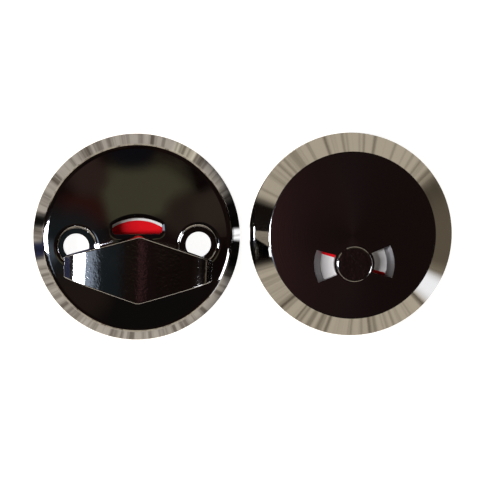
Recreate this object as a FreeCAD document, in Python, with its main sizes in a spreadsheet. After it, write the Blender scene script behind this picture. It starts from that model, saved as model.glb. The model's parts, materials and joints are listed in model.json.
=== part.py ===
"""Bathroom thumb turn lock: the two halves of one set, laid on their backs side by side.

Units are millimetres. +Z points away from the door face and both backs rest on z = 0.
The inside half, with the thumb turn, lies towards -X. The outside half, with the coin
turn, lies towards +X. The origin is under the middle of the pair.
"""
import FreeCAD, Part
import math
import os
import Sketcher
from types import SimpleNamespace

Vector = FreeCAD.Vector

# Driving dimensions: name, number in millimetres or degrees, meaning
SIZES = [
    ("halves_gap", 2.3, "room between the two roses"),
    ("pivot_drop", 7.1, "pivot below the centre of each rose"),
    ("screw_spacing", 30.0, "distance between the fixing screws"),
    ("screw_drop", 1.75, "fixing screws below the centre of each rose"),
    ("running_gap", 0.05, "radial play of a turning fit"),
    ("seat_gap", 0.02, "play between stacked faces of moving pieces"),
    ("spindle_socket", 5.1, "width of the square spindle socket"),
    ("field_wall", 0.2, "thickness of a coloured field"),
    ("washer_sheet", 0.25, "thickness of the wave washers' strip"),
    ("washer_play", 0.3, "radial play of a wave washer on its shaft"),

    ("inside_radius", 25.6, "outer radius of the pressed rose"),
    ("inside_rim_run", 2.55, "width of the pressed rose's rim, seen from the front"),
    ("inside_rim_height", 4.8, "height of the rim before its shoulder"),
    ("dome_height", 7.2, "height of the pressed rose at its middle"),
    ("sheet_wall", 1.0, "sheet thickness of the pressed rose"),
    ("shoulder_round", 2.2, "outer radius of the bend between rim and dome"),
    ("screw_hole_radius", 3.15, "screw hole in the pressed rose"),
    ("screw_seat_depth", 1.0, "depth of the dished screw seat"),
    ("screw_seat_flare", 0.5, "widening of the wall round the screw seat, over the seat's depth"),
    ("screw_brim_radius", 5.7, "outer edge of the soft bend round the screw seat"),
    ("screw_brim_round", 1.4, "radius of the soft bend round the screw seat"),
    ("screw_brim_lift", 0.005, "top of the soft bend above the dome"),
    ("recess_brim_round", 0.8, "soft bend at the brim of the recess"),
    ("bush_seat_radius", 6.5, "flat pressed seat for the bush"),
    ("bush_seat_drop", 0.3, "flat seat below the top of the dome"),
    ("window_outer_radius", 12.2, "curved upper edge of the window, from the pivot"),
    ("window_half_width", 6.1, "half the width of the window"),
    ("window_sill", 8.25, "sill of the window above the pivot"),
    ("window_head_round", 0.5, "rounding of the upper corners of the window"),
    ("window_foot_round", 0.9, "rounding of the lower corners of the window"),
    ("recess_depth", 0.3, "depth of the pressed recess round the window"),
    ("recess_lip", 0.1, "flat lip left round the window"),
    ("recess_run", 1.45, "slope round the window, seen from the front"),
    ("recess_wall", 0.5, "run of the sheet past the recess, at the back"),

    ("turn_length", 36.0, "length of the thumb turn's grip"),
    ("turn_width", 16.4, "width of the grip at its middle"),
    ("turn_end_width", 5.2, "width of the grip at its ends"),
    ("turn_top", 16.5, "height of the grip's crown above the door"),
    ("turn_lift", 0.8, "room between the dome and the grip"),
    ("turn_crown_radius", 48.0, "crown of the grip along its length"),
    ("turn_crown_reach", 13.0, "reach of the crown from the pivot to where its ends roll over"),
    ("turn_roll_radius", 8.5, "radius of the roll at each end of the crown"),
    ("turn_arch_rise", 1.4, "arch of the grip's underside at its ends"),
    ("turn_nose_round", 3.0, "rounding at the widest corners of the grip"),
    ("turn_corner_round", 0.6, "rounding at the end corners of the grip"),
    ("turn_end_bevel", 1.4, "bevel at the ends of the grip, seen from above"),
    ("turn_end_bevel_drop", 1.7, "bevel at the ends of the grip, seen from the side"),
    ("turn_edge_round", 0.3, "rounding of the grip's upper edges"),
    ("turn_rest_angle", 2.7, "clockwise turn of the grip from the screws' line, at rest"),
    ("neck_radius", 5.0, "neck of the thumb turn in its bush"),
    ("drive_width", 7.0, "square shank of the thumb turn"),
    ("inside_socket_depth", 10.0, "depth of the spindle socket in the thumb turn"),
    ("shank_tail", 1.2, "end of the shank below its retaining ring"),
    ("bush_wall", 0.75, "wall of the bush's barrel"),
    ("bush_flange", 0.5, "thickness of the bush's flange"),
    ("bush_flange_run", 0.6, "width of the bush's flange past its barrel"),
    ("inside_washer_height", 1.1, "compressed height of the inside wave washer"),
    ("inside_hub_radius", 6.4, "raised hub of the inside indicator"),
    ("inside_hub_rise", 0.9, "hub above the plate of the inside indicator"),
    ("inside_plate_wall", 1.0, "plate thickness of the inside indicator"),
    ("inside_collar_radius", 8.0, "round middle of the inside indicator"),
    ("inside_field_edge", 0.75, "white edge that shows along the window's outer side"),
    ("inside_field_half_angle", 43.0, "half the angle of the red field"),
    ("field_rebate_gap", 0.05, "play of a coloured field in its rebate"),
    ("ring_wall", 0.8, "thickness of the retaining ring"),
    ("ring_band", 2.0, "radial width of the retaining ring"),
    ("ring_groove_depth", 0.8, "groove below the shank's corners"),
    ("ring_mouth", 5.0, "open mouth of the retaining ring"),

    ("outside_radius", 25.2, "outer radius of the turned rose"),
    ("outside_rim_run", 4.6, "width of the bevelled rim, seen from the front"),
    ("outside_height", 6.0, "height of the turned rose"),
    ("outside_edge_land", 2.2, "upright edge at the foot of the bevel"),
    ("outside_edge_break", 0.12, "broken edge between face and bevel"),
    ("face_wall", 2.0, "thickness of the turned face"),
    ("cavity_radius", 18.9, "hollow behind the face"),
    ("ledge_width", 1.6, "ledge that the back plate lies on"),
    ("outside_tilt", 2.8, "anticlockwise turn of the outside half as it lies"),
    ("fan_outer_radius", 10.0, "fan window at the face, from the pivot"),
    ("fan_floor_radius", 8.3, "fan window at the back of the face"),
    ("fan_half_angle", 19.3, "lean of the fan window's sides"),
    ("fan_side_offset", 0.82, "fan window's sides past the pivot"),
    ("fan_hub_wall", 0.55, "ring of the face left round the coin turn"),
    ("boss_radius", 3.4, "screw boss behind the face"),
    ("boss_bore_radius", 1.65, "drilled size of the tapped screw boss"),
    ("boss_bore_depth", 4.6, "depth of the tapped hole"),
    ("coin_radius", 4.42, "barrel of the coin turn"),
    ("coin_rise", 1.0, "coin turn above the face"),
    ("coin_edge_round", 0.45, "rounded edge of the coin turn"),
    ("coin_slot_width", 1.6, "slot for a coin"),
    ("coin_slot_depth", 1.7, "depth of the slot"),
    ("coin_flange_radius", 6.3, "flange of the coin turn"),
    ("coin_flange_wall", 0.85, "thickness of the flange"),
    ("coin_rest_angle", 35.2, "anticlockwise turn of the coin turn from vacant, at rest"),
    ("coin_web", 0.8, "metal between slot and spindle socket"),
    ("drive_peg_radius", 0.6, "peg that drives the outside indicator"),
    ("drive_peg_height", 0.6, "height of the drive peg"),
    ("drive_peg_circle", 5.5, "distance of the drive pegs from the pivot"),
    ("outside_disc_radius", 8.6, "outside indicator disc"),
    ("outside_disc_wall", 1.0, "thickness of the outside indicator disc"),
    ("outside_field_half_angle", 34.5, "half the angle of each red field"),
    ("outside_field_edge", 0.15, "white edge outside the red fields"),
    ("outside_washer_height", 0.8, "compressed height of the outside wave washer"),
    ("back_plate_wall", 0.9, "thickness of the back plate"),
]

SHEET_NAME = "sizes"
WASHER_WAVES = 3
POINTS_PER_WAVE = 6
CUT_OVERRUN = 2.0
FULL_TURN = 360.0
QUARTER_TURN = 90.0
ROUND_SHARE = 0.8
PEG_ANGLES = (45.0, 225.0)


class Size:
    """A number and the sheet expression that gives it; arithmetic keeps both in step."""

    def __init__(self, number, text):
        self.number = number
        self.text = text

    def __add__(self, other):
        other = as_size(other)
        return Size(self.number + other.number, f"({self.text} + {other.text})")

    def __sub__(self, other):
        other = as_size(other)
        return Size(self.number - other.number, f"({self.text} - {other.text})")

    def __mul__(self, other):
        other = as_size(other)
        return Size(self.number * other.number, f"({self.text} * {other.text})")

    def __truediv__(self, other):
        other = as_size(other)
        return Size(self.number / other.number, f"({self.text} / {other.text})")

    def __radd__(self, other):
        return as_size(other) + self

    def __rsub__(self, other):
        return as_size(other) - self

    def __rmul__(self, other):
        return as_size(other) * self

    def __neg__(self):
        return Size(-self.number, f"(0 - {self.text})")


def as_size(value):
    return value if isinstance(value, Size) else Size(float(value), str(value))


def root(size):
    return Size(math.sqrt(size.number), f"sqrt({size.text})")


def sine(angle):
    angle = as_size(angle)
    return Size(math.sin(math.radians(angle.number)), f"sin({angle.text})")


def cosine(angle):
    angle = as_size(angle)
    return Size(math.cos(math.radians(angle.number)), f"cos({angle.text})")


def arcsine(size):
    return Size(math.degrees(math.asin(size.number)), f"asin({size.text})")


def smaller(one, other):
    return Size(min(one.number, other.number), f"min({one.text}; {other.text})")


def bind(thing, name, size):
    thing.setExpression(name, as_size(size).text)


# Document and sheet
doc = FreeCAD.newDocument("thumb_turn_lock")
sheet = doc.addObject("Spreadsheet::Sheet", SHEET_NAME)
for row, (alias, number, meaning) in enumerate(SIZES, start=1):
    sheet.set(f"A{row}", meaning)
    sheet.set(f"B{row}", str(number))
    sheet.setAlias(f"B{row}", alias)
doc.recompute()
s = SimpleNamespace(**{
    alias: Size(float(sheet.get(alias)), f"{SHEET_NAME}.{alias}") for alias, number, meaning in SIZES
})


# Sketches and features
def new_body(label):
    body = doc.addObject("PartDesign::Body", label)
    body.Label = label
    return body


def origin_plane(body, role):
    return next(plane for plane in body.Origin.OriginFeatures if plane.Role == role)


def attach(thing, body, role, place, lean=None):
    """Attaches a sketch or primitive to an origin plane, within that plane's axes.

    place is the move from the origin; lean is a turn, given as its axis and its angle.
    """
    thing.AttachmentSupport = [(origin_plane(body, role), "")]
    thing.MapMode = "FlatFace"
    if lean:
        axis, angle = lean
        turn = FreeCAD.Rotation(Vector(*[as_size(part).number for part in axis]), angle.number)
        thing.AttachmentOffset = FreeCAD.Placement(Vector(0, 0, 0), turn)
        for letter, part in zip("xyz", axis):
            bind(thing, f"AttachmentOffset.Rotation.Axis.{letter}", part)
        bind(thing, "AttachmentOffset.Rotation.Angle", angle)
    for letter, part in zip("xyz", place):
        bind(thing, f"AttachmentOffset.Base.{letter}", part)


def new_sketch(body, name, role="XY_Plane", lift=0):
    sketch = body.newObject("Sketcher::SketchObject", name)
    attach(sketch, body, role, (0, 0, lift))
    return sketch


def constrain(sketch, size, *terms):
    """Adds a dimension to a sketch and binds it to the sheet."""
    size = as_size(size)
    index = sketch.addConstraint(Sketcher.Constraint(*terms, size.number))
    bind(sketch, f"Constraints[{index}]", size)


def arc_between(start, end, radius):
    """The shorter anticlockwise arc of a radius from start to end."""
    chord = end - start
    half = chord.Length / 2
    across = Vector(-chord.y, chord.x, 0).normalize()
    centre = (start + end) / 2 + across * math.sqrt(max(radius * radius - half * half, 0.0))
    angles = [math.atan2(point.y - centre.y, point.x - centre.x) for point in (start, end)]
    return Part.ArcOfCircle(Part.Circle(centre, Vector(0, 0, 1), radius), *angles)


def draw_outline(sketch, corners):
    """Draws a closed outline.

    A corner is (x, y) where a straight edge leaves it, or (x, y, radius, turn) where an
    arc does; turn is "left" for an arc that bends anticlockwise and "right" otherwise.
    """
    points = [Vector(as_size(corner[0]).number, as_size(corner[1]).number, 0) for corner in corners]
    ends = []
    for index, corner in enumerate(corners):
        start = points[index]
        end = points[(index + 1) % len(points)]
        if len(corner) == 2:
            edge = sketch.addGeometry(Part.LineSegment(start, end), False)
            ends.append((edge, 1, 2))
        elif corner[3] == "left":
            edge = sketch.addGeometry(arc_between(start, end, corner[2].number), False)
            ends.append((edge, 1, 2))
        else:
            edge = sketch.addGeometry(arc_between(end, start, corner[2].number), False)
            ends.append((edge, 2, 1))
    for index, (edge, first, last) in enumerate(ends):
        following = ends[(index + 1) % len(ends)]
        sketch.addConstraint(Sketcher.Constraint("Coincident", edge, last, following[0], following[1]))
    for corner, (edge, first, last) in zip(corners, ends):
        constrain(sketch, corner[0], "DistanceX", -1, 1, edge, first)
        constrain(sketch, corner[1], "DistanceY", -1, 1, edge, first)
        if len(corner) > 2:
            constrain(sketch, corner[2], "Radius", edge)


def draw_circle(sketch, x, y, radius):
    centre = Vector(as_size(x).number, as_size(y).number, 0)
    edge = sketch.addGeometry(Part.Circle(centre, Vector(0, 0, 1), radius.number), False)
    constrain(sketch, x, "DistanceX", -1, 1, edge, 3)
    constrain(sketch, y, "DistanceY", -1, 1, edge, 3)
    constrain(sketch, radius, "Radius", edge)


def rectangle(left, low, right, high):
    return [(left, low), (right, low), (right, high), (left, high)]


def at_angle(radius, angle, drop=0):
    """Point at a radius and angle from a pivot that lies drop below the sketch's origin."""
    return radius * cosine(angle), radius * sine(angle) - drop


def ring_sector(inner, outer, low, high, drop=0):
    return [
        (*at_angle(inner, low, drop),),
        (*at_angle(outer, low, drop), outer, "left"),
        (*at_angle(outer, high, drop),),
        (*at_angle(inner, high, drop), inner, "right"),
    ]


def revolve(body, name, corners, cut=False, place=(0, 0, 0), lean=None):
    """Turns a section about the upright axis of its sketch, which may be moved and leant."""
    sketch = body.newObject("Sketcher::SketchObject", f"{name}_section")
    attach(sketch, body, "XZ_Plane", place, lean)
    draw_outline(sketch, corners)
    feature = body.newObject("PartDesign::Groove" if cut else "PartDesign::Revolution", name)
    feature.Profile = sketch
    feature.ReferenceAxis = (sketch, ["V_Axis"])
    feature.Angle = FULL_TURN
    doc.recompute()
    return feature


def extrude(body, name, outlines, low, length, role="XY_Plane", cut=False, both_ways=False):
    """Pads or pockets a sketch from the height low, by length along its plane's normal."""
    sketch = new_sketch(body, f"{name}_outline", role, low)
    for outline in outlines:
        if isinstance(outline, list):
            draw_outline(sketch, outline)
        else:
            draw_circle(sketch, *outline)
    feature = body.newObject("PartDesign::Pocket" if cut else "PartDesign::Pad", name)
    feature.Profile = sketch
    feature.Reversed = cut and not both_ways
    if both_ways:
        feature.SideType = "Symmetric"
    bind(feature, "Length", length)
    doc.recompute()
    return feature


def primitive(body, kind, name, place, lean=None, **sizes):
    feature = body.newObject(f"PartDesign::{kind}", name)
    attach(feature, body, "XY_Plane", place, lean)
    for size_name, size in sizes.items():
        bind(feature, size_name, size)
    doc.recompute()
    return feature


def loft(body, name, sections, cut=False):
    """Straight-sided loft through outlines, each given with its height."""
    sketches = []
    for number, (outline, height) in enumerate(sections):
        sketch = new_sketch(body, f"{name}_outline_{number}", "XY_Plane", height)
        draw_outline(sketch, outline)
        sketches.append(sketch)
    feature = body.newObject("PartDesign::SubtractiveLoft" if cut else "PartDesign::AdditiveLoft", name)
    feature.Profile = sketches[0]
    feature.Sections = sketches[1:]
    feature.Ruled = True
    doc.recompute()
    return feature


def mirror_across(body, name, originals):
    """Repeats features on the other side of the body's own YZ plane."""
    feature = body.newObject("PartDesign::Mirrored", name)
    feature.Originals = originals
    feature.MirrorPlane = (origin_plane(body, "YZ_Plane"), [""])
    body.Tip = feature
    doc.recompute()
    return feature


def edge_names(shape, wanted):
    return [f"Edge{number}" for number, edge in enumerate(shape.Edges, start=1) if wanted(edge)]


def dress(body, kind, name, wanted, **sizes):
    """Fillets or chamfers the edges of the body so far that pass the test."""
    base = body.Tip
    feature = body.newObject(f"PartDesign::{kind}", name)
    feature.Base = (base, edge_names(base.Shape, wanted))
    for size_name, size in sizes.items():
        bind(feature, size_name, size)
    doc.recompute()
    return feature


def is_circle(edge, radius, height):
    """Tests for a full circle of a radius about the local Z axis at a height."""
    if edge.Degenerated or not isinstance(edge.Curve, Part.Circle) or not edge.isClosed():
        return False
    centre = edge.Curve.Center
    size_fits = abs(edge.Curve.Radius - radius.number) < 0.01
    return size_fits and math.hypot(centre.x, centre.y) < 0.01 and abs(centre.z - height.number) < 0.01


def put(thing, x, y, angle):
    """Places a piece in the set's frame, turned about Z."""
    thing.Placement = FreeCAD.Placement(Vector(0, 0, 0), FreeCAD.Rotation(Vector(0, 0, 1), 0))
    bind(thing, "Placement.Base.x", x)
    bind(thing, "Placement.Base.y", y)
    bind(thing, "Placement.Rotation.Angle", angle)


# Places in the set's frame
inside_x = -(s.outside_radius + s.halves_gap / 2)
outside_x = s.inside_radius + s.halves_gap / 2
inside_pivot = (inside_x, -s.pivot_drop)
outside_pivot = (
    outside_x + s.pivot_drop * sine(s.outside_tilt),
    -s.pivot_drop * cosine(s.outside_tilt),
)
coin_angle = s.outside_tilt + s.coin_rest_angle

# Heights of the inside half, stacked down from the dome
rim_top_radius = s.inside_radius - s.inside_rim_run
dome_rise = s.dome_height - s.inside_rim_height
dome_radius = (rim_top_radius * rim_top_radius + dome_rise * dome_rise) / (2 * dome_rise)
bush_seat = s.dome_height - s.bush_seat_drop
bush_seat_under = bush_seat - s.sheet_wall
collar_under = bush_seat + s.bush_flange + s.seat_gap
grip_under = s.dome_height + s.turn_lift
shank_shoulder = bush_seat_under - s.inside_washer_height - 2 * s.seat_gap
plate_top = shank_shoulder - s.inside_hub_rise
plate_under = plate_top - s.inside_plate_wall
ring_under = plate_under - s.ring_wall
shank_end = ring_under - s.shank_tail
ring_groove = s.drive_width / root(as_size(2)) - s.ring_groove_depth
bush_bore = s.neck_radius + s.running_gap
bush_barrel = bush_bore + s.bush_wall
bush_hole = bush_barrel + s.running_gap
bush_flange_radius = bush_barrel + s.bush_flange_run
inside_plate_radius = s.window_outer_radius + s.recess_lip
inside_field_inner = s.inside_collar_radius
inside_field_outer = s.window_outer_radius - s.inside_field_edge
inside_field_low = QUARTER_TURN - s.inside_field_half_angle
inside_field_high = QUARTER_TURN + s.inside_field_half_angle

# Heights of the outside half, stacked down from the face
face_under = s.outside_height - s.face_wall
disc_top = face_under - s.running_gap
disc_under = disc_top - s.outside_disc_wall
coin_flange_under = disc_under - s.coin_flange_wall
back_plate_top = coin_flange_under - s.outside_washer_height - s.seat_gap
back_plate_under = back_plate_top - s.back_plate_wall
coin_bore = s.coin_radius + s.running_gap
fan_inner_radius = coin_bore + s.fan_hub_wall
coin_top = s.outside_height + s.coin_rise
counterbore_radius = s.cavity_radius + s.ledge_width
outside_face_radius = s.outside_radius - s.outside_rim_run
outside_field_outer = s.outside_disc_radius - s.outside_field_edge
outside_field_inner = fan_inner_radius - s.outside_field_edge


def dome_at(distance):
    """Height of the dome's outer face at a distance from the rose's centre."""
    return s.dome_height - dome_radius + root(dome_radius * dome_radius - distance * distance)


def window_outline(margin):
    """Outline of the rose's window, grown by a margin: curved head, upright sides and a sill."""
    head = s.window_outer_radius + margin
    side = s.window_half_width + margin
    sill = s.window_sill - margin - s.pivot_drop
    head_round = s.window_head_round + margin
    corner_reach = head - head_round
    corner_x = side - head_round
    corner_y = root(corner_reach * corner_reach - corner_x * corner_x)
    foot_room = (corner_y - s.window_sill) * ROUND_SHARE
    foot_round = smaller(s.window_foot_round, foot_room) + margin
    head_x = corner_x * head / corner_reach
    head_y = corner_y * head / corner_reach - s.pivot_drop
    return [
        (foot_round - side, sill),
        (side - foot_round, sill, foot_round, "left"),
        (side, sill + foot_round),
        (side, corner_y - s.pivot_drop, head_round, "left"),
        (head_x, head_y, head, "left"),
        (-head_x, head_y, head_round, "left"),
        (-side, corner_y - s.pivot_drop),
        (-side, sill + foot_round, foot_round, "left"),
    ]


def rose_form(name, foot, foot_height, bend, top, crown_radius, bend_round, seat_height):
    """Solid under one face of the pressed sheet: rim, rounded bend, dome and flat bush seat."""
    form = new_body(name)
    revolve(form, f"{name}_dome", [
        (foot, foot_height),
        (*bend, crown_radius, "left"),
        (0, top),
        (0, foot_height),
    ])
    dress(form, "Fillet", f"{name}_bend", lambda edge: is_circle(edge, *bend), Radius=bend_round)
    pivot = (0, -s.pivot_drop)
    primitive(form, "AdditiveCylinder", f"{name}_seat", (*pivot, 0), Radius=s.bush_seat_radius,
              Height=seat_height)
    primitive(form, "SubtractiveCylinder", f"{name}_seat_face", (*pivot, seat_height),
              Radius=s.bush_seat_radius, Height=CUT_OVERRUN)
    return form


def pressed_rose():
    """Polished rose pressed from sheet: the form under its outer face less the form under its inner one."""
    outer_bend = (rim_top_radius, s.inside_rim_height)
    outer = rose_form("rose_outer_form", s.inside_radius, 0, outer_bend, s.dome_height, dome_radius,
                      s.shoulder_round, bush_seat)

    # The inner rim line leans as the outer one does and ends where it meets the inner dome
    lean = s.inside_rim_run / s.inside_rim_height
    rim_shift = s.sheet_wall * root(1 + lean * lean)
    inner_rim = s.inside_radius - rim_shift
    dome_centre = s.dome_height - dome_radius
    inner_dome = dome_radius - s.sheet_wall
    middle = inner_rim * lean + dome_centre
    slant = lean * lean + 1
    offset = inner_rim * inner_rim + dome_centre * dome_centre - inner_dome * inner_dome
    bend_height = (middle + root(middle * middle - slant * offset)) / slant
    inner_bend = (inner_rim - lean * bend_height, bend_height)
    inner_foot = inner_rim + lean * CUT_OVERRUN
    inner = rose_form("rose_inner_form", inner_foot, as_size(-CUT_OVERRUN), inner_bend,
                      s.dome_height - s.sheet_wall, inner_dome, s.shoulder_round - s.sheet_wall,
                      bush_seat_under)

    # Dished screw seats, square to the dome: a flat floor, a steep wall and a soft brim
    screw_x = s.screw_spacing / 2
    screw_y = -s.screw_drop
    screw_reach = root(screw_x * screw_x + screw_y * screw_y)
    seat_lean = arcsine(screw_reach / dome_radius)
    flare = s.screw_seat_flare / s.screw_seat_depth
    slant = root(1 + flare * flare)
    seat_floor = dome_radius - s.screw_seat_depth
    brim_top = s.screw_brim_lift + root(
        dome_radius * dome_radius - s.screw_brim_radius * s.screw_brim_radius)
    wall_top = brim_top - s.screw_brim_round * (1 - flare / slant)
    wall_radius = s.screw_brim_radius - s.screw_brim_round / slant
    floor_radius = wall_radius - flare * (wall_top - seat_floor)
    clear_height = dome_radius + CUT_OVERRUN
    seat = revolve(outer, "screw_seat", [
        (0, seat_floor),
        (floor_radius, seat_floor),
        (wall_radius, wall_top, s.screw_brim_round, "right"),
        (s.screw_brim_radius, brim_top),
        (s.screw_brim_radius, clear_height),
        (0, clear_height),
    ], cut=True, place=(0, dome_centre, 0), lean=((-screw_y, 0, -screw_x), seat_lean))
    hole = primitive(outer, "SubtractiveCylinder", "screw_hole", (screw_x, screw_y, 0),
                     Radius=s.screw_hole_radius, Height=s.dome_height)
    mirror_across(outer, "screw_seats", [seat, hole])

    # The inner face has the same floor and wall, one sheet lower
    dish_floor = seat_floor - s.sheet_wall
    dish_share = dish_floor / dome_radius
    dish_radius = floor_radius + s.sheet_wall * (slant - flare)
    dish_height = s.screw_seat_depth + CUT_OVERRUN
    upright = root(dome_radius * dome_radius - screw_reach * screw_reach)
    dish_place = (screw_x * dish_share, screw_y * dish_share, dome_centre + upright * dish_share)
    dish = primitive(inner, "SubtractiveCone", "dish", dish_place, lean=((-screw_y, screw_x, 0), seat_lean),
                     Radius1=dish_radius, Radius2=dish_radius + flare * dish_height, Height=dish_height)
    mirror_across(inner, "dishes", [dish])

    # Window recess: sloping sides down to a narrow lip, one sheet lower in the inner face
    recess_floor = dome_at(s.window_outer_radius - s.pivot_drop) - s.recess_depth
    brim = s.recess_lip + s.recess_run
    loft(outer, "recess", [
        (window_outline(brim), s.dome_height),
        (window_outline(s.recess_lip), recess_floor),
    ], cut=True)
    loft(inner, "recess_under", [
        (window_outline(brim + s.recess_wall), s.dome_height),
        (window_outline(s.recess_lip + s.recess_wall), recess_floor - s.sheet_wall),
    ], cut=True)
    extrude(outer, "window", [window_outline(as_size(0))], 0, s.dome_height, cut=True)

    def on_recess_brim(edge):
        """Tests for an edge between the recess and the dome's outer face."""
        if edge.Degenerated or isinstance(edge.Curve, Part.Circle):
            return False
        for point in edge.discretize(9):
            on_dome = abs(point.z - dome_at(as_size(math.hypot(point.x, point.y))).number) < 0.02
            above_seat = point.y > s.window_sill.number - s.pivot_drop.number - brim.number
            if not on_dome or not above_seat or abs(point.x) > s.window_half_width.number + brim.number:
                return False
        return True

    dress(outer, "Fillet", "soft_recess", on_recess_brim, Radius=s.recess_brim_round)
    primitive(outer, "SubtractiveCylinder", "bush_hole", (0, -s.pivot_drop, 0), Radius=bush_hole,
              Height=s.dome_height)

    rose = doc.addObject("Part::Cut", "inside_rose")
    rose.Base = outer
    rose.Tool = inner
    put(rose, inside_x, 0, 0)
    return rose


def turn_bush():
    """Nylon bush that the thumb turn's neck runs in, with its flange on the rose's flat seat."""
    body = new_body("turn_bush")
    revolve(body, "bush", [
        (bush_bore, bush_seat_under),
        (bush_barrel, bush_seat_under),
        (bush_barrel, bush_seat),
        (bush_flange_radius, bush_seat),
        (bush_flange_radius, bush_seat + s.bush_flange),
        (bush_bore, bush_seat + s.bush_flange),
    ])
    put(body, *inside_pivot, 0)
    return body


def crown_at(distance):
    """Height of the grip's crown at a distance from the pivot, along its length."""
    return s.turn_top - s.turn_crown_radius + root(
        s.turn_crown_radius * s.turn_crown_radius - distance * distance)


def thumb_turn():
    """Cast turn: a crowned lozenge grip, its collar and neck, and a square shank with a spindle socket."""
    body = new_body("thumb_turn")
    half_length = s.turn_length / 2
    half_width = s.turn_width / 2
    half_end = s.turn_end_width / 2
    extrude(body, "grip", [[
        (-half_length, -half_end),
        (0, -half_width),
        (half_length, -half_end),
        (half_length, half_end),
        (0, half_width),
        (-half_length, half_end),
    ]], grip_under, s.turn_top - grip_under)

    def upright_at(distance):
        def wanted(edge):
            start, end = (vertex.Point for vertex in edge.Vertexes)
            return abs(start.x - end.x) < 0.01 and abs(start.y - end.y) < 0.01 and (
                abs(abs(start.x) - distance) < 0.01)
        return wanted

    dress(body, "Fillet", "noses", upright_at(0), Radius=s.turn_nose_round)
    dress(body, "Fillet", "corners", upright_at(half_length.number), Radius=s.turn_corner_round)

    # Crown along the length, rolling over into a bevel at each end
    bevel_start = half_length - s.turn_end_bevel
    bevel_stop = half_length + s.turn_end_bevel
    crown_centre = s.turn_top - s.turn_crown_radius
    crown_end = crown_at(s.turn_crown_reach)
    roll_share = 1 - s.turn_roll_radius / s.turn_crown_radius
    roll_x = s.turn_crown_reach * roll_share
    roll_z = crown_centre + (crown_end - crown_centre) * roll_share
    roll_run = bevel_start - roll_x
    shoulder = roll_z + root(s.turn_roll_radius * s.turn_roll_radius - roll_run * roll_run)
    bevel_foot = shoulder - 2 * s.turn_end_bevel_drop
    clear_top = s.turn_top + CUT_OVERRUN
    extrude(body, "crown", [[
        (-bevel_stop, bevel_foot),
        (-bevel_start, shoulder, s.turn_roll_radius, "right"),
        (-s.turn_crown_reach, crown_end, s.turn_crown_radius, "right"),
        (s.turn_crown_reach, crown_end, s.turn_roll_radius, "right"),
        (bevel_start, shoulder),
        (bevel_stop, bevel_foot),
        (bevel_stop, clear_top),
        (-bevel_stop, clear_top),
    ]], 0, s.turn_width + CUT_OVERRUN, "XZ_Plane", cut=True, both_ways=True)

    # Arched underside, highest at the ends
    arch_radius = (half_length * half_length + s.turn_arch_rise * s.turn_arch_rise) / (2 * s.turn_arch_rise)
    arch_reach = half_length + CUT_OVERRUN
    arch_end = grip_under + arch_radius - root(arch_radius * arch_radius - arch_reach * arch_reach)
    extrude(body, "arch", [[
        (-arch_reach, arch_end, arch_radius, "left"),
        (arch_reach, arch_end),
        (arch_reach, grip_under - CUT_OVERRUN),
        (-arch_reach, grip_under - CUT_OVERRUN),
    ]], 0, s.turn_width + CUT_OVERRUN, "XZ_Plane", cut=True, both_ways=True)

    def top_at(reach):
        """Height of the grip's upper face at a distance from the pivot: crown, roll or bevel."""
        if reach < s.turn_crown_reach.number:
            return crown_at(as_size(reach)).number
        if reach < bevel_start.number:
            run = reach - roll_x.number
            return roll_z.number + math.sqrt(s.turn_roll_radius.number ** 2 - run ** 2)
        bevel_share = (reach - bevel_start.number) / s.turn_end_bevel.number
        return shoulder.number - s.turn_end_bevel_drop.number * bevel_share

    def round_top(edge):
        """Tests for an edge of the upper face, other than the smooth joint of crown and roll."""
        points = edge.discretize(5)
        smooth_joint = all(abs(abs(point.x) - s.turn_crown_reach.number) < 0.01 for point in points)
        return not smooth_joint and all(abs(point.z - top_at(abs(point.x))) < 0.01 for point in points)

    dress(body, "Fillet", "upper_edges", round_top, Radius=s.turn_edge_round)

    primitive(body, "AdditiveCylinder", "collar", (0, 0, collar_under), Radius=bush_flange_radius,
              Height=grip_under + s.turn_arch_rise - collar_under)
    primitive(body, "AdditiveCylinder", "neck", (0, 0, shank_shoulder), Radius=s.neck_radius,
              Height=grip_under - shank_shoulder)
    half_drive = s.drive_width / 2
    primitive(body, "AdditiveBox", "shank", (-half_drive, -half_drive, shank_end), Length=s.drive_width,
              Width=s.drive_width, Height=grip_under - shank_end)
    groove = rectangle(ring_groove, ring_under, ring_groove + s.drive_width, plate_under)
    revolve(body, "ring_groove", groove, cut=True)
    half_socket = s.spindle_socket / 2
    primitive(body, "SubtractiveBox", "spindle_socket", (-half_socket, -half_socket, shank_end),
              Length=s.spindle_socket, Width=s.spindle_socket, Height=s.inside_socket_depth)
    put(body, *inside_pivot, -s.turn_rest_angle)
    return body


def inside_indicator():
    """White moulded indicator: a quadrant plate on a hub that the square shank drives."""
    body = new_body("inside_indicator_disc")
    extrude(body, "plate", [[
        (0, 0),
        (*at_angle(inside_plate_radius, -QUARTER_TURN / 2), inside_plate_radius, "left"),
        (*at_angle(inside_plate_radius, QUARTER_TURN / 2), inside_plate_radius, "left"),
        at_angle(inside_plate_radius, QUARTER_TURN * 3 / 2),
    ]], plate_under, s.inside_plate_wall)
    extrude(body, "collar", [(0, 0, s.inside_collar_radius)], plate_under, s.inside_plate_wall)
    extrude(body, "hub", [(0, 0, s.inside_hub_radius)], plate_under, shank_shoulder - plate_under)
    hole = s.drive_width + 2 * s.running_gap
    primitive(body, "SubtractiveBox", "square_hole", (-hole / 2, -hole / 2, plate_under), Length=hole,
              Width=hole, Height=shank_shoulder - plate_under)
    rebate = ring_sector(inside_field_inner, inside_field_outer, inside_field_low, inside_field_high)
    extrude(body, "rebate", [rebate], plate_top - s.field_wall, s.field_wall, cut=True)
    put(body, *inside_pivot, -s.turn_rest_angle)
    return body


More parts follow.
